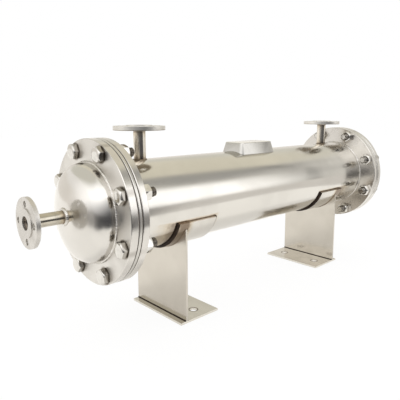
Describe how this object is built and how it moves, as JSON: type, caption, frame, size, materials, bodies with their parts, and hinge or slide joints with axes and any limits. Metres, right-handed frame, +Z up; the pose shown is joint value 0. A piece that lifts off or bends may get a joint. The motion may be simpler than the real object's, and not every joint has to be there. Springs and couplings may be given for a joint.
{
  "type": "shell and tube heat exchanger",
  "caption": "Horizontal stainless shell and tube heat exchanger: flanged shell, dished heads with axial nozzles, top nozzles, a blank plate bracket and saddle legs.",
  "frame": {"origin": "on the floor, under the middle of the vessel", "axes": "+X along the vessel towards the far head, +Z up"},
  "size_m": [0.982, 0.24, 0.353],
  "materials": {
    "shell_steel": "polished stainless steel",
    "head_steel": "satin-polished stainless steel",
    "flange_steel": "turned and brushed stainless steel",
    "pipe_steel": "bright polished stainless steel",
    "bolt_steel": "bright stainless steel",
    "leg_steel": "brushed stainless plate",
    "plate_steel": "brushed stainless sheet",
    "tube_steel": "mill-finish stainless steel",
    "gasket": "matt compressed sheet"
  },
  "bodies": {
    "root": {"shell": "shell_steel", "near_head": "head_steel", "far_head": "head_steel", "near_shell_flange": "flange_steel", "far_shell_flange": "flange_steel", "near_head_flange": "flange_steel", "far_head_flange": "flange_steel", "inlet_flange": "flange_steel", "outlet_flange": "flange_steel", "near_head_nozzle_flange": "flange_steel", "far_head_nozzle_flange": "flange_steel", "near_tubesheet": "flange_steel", "far_tubesheet": "flange_steel", "inlet_nozzle": "pipe_steel", "outlet_nozzle": "pipe_steel", "near_head_nozzle": "pipe_steel", "far_head_nozzle": "pipe_steel", "near_bolts": "bolt_steel", "near_nuts": "bolt_steel", "far_bolts": "bolt_steel", "far_nuts": "bolt_steel", "near_pad": "leg_steel", "near_leg": "leg_steel", "near_foot": "leg_steel", "far_pad": "leg_steel", "far_leg": "leg_steel", "far_foot": "leg_steel", "nameplate_bracket": "plate_steel", "tubes": "tube_steel", "baffles": "tube_steel", "tie_rods": "tube_steel", "near_shell_gasket": "gasket", "near_head_gasket": "gasket", "far_shell_gasket": "gasket", "far_head_gasket": "gasket"}
  },
  "joints": []
}
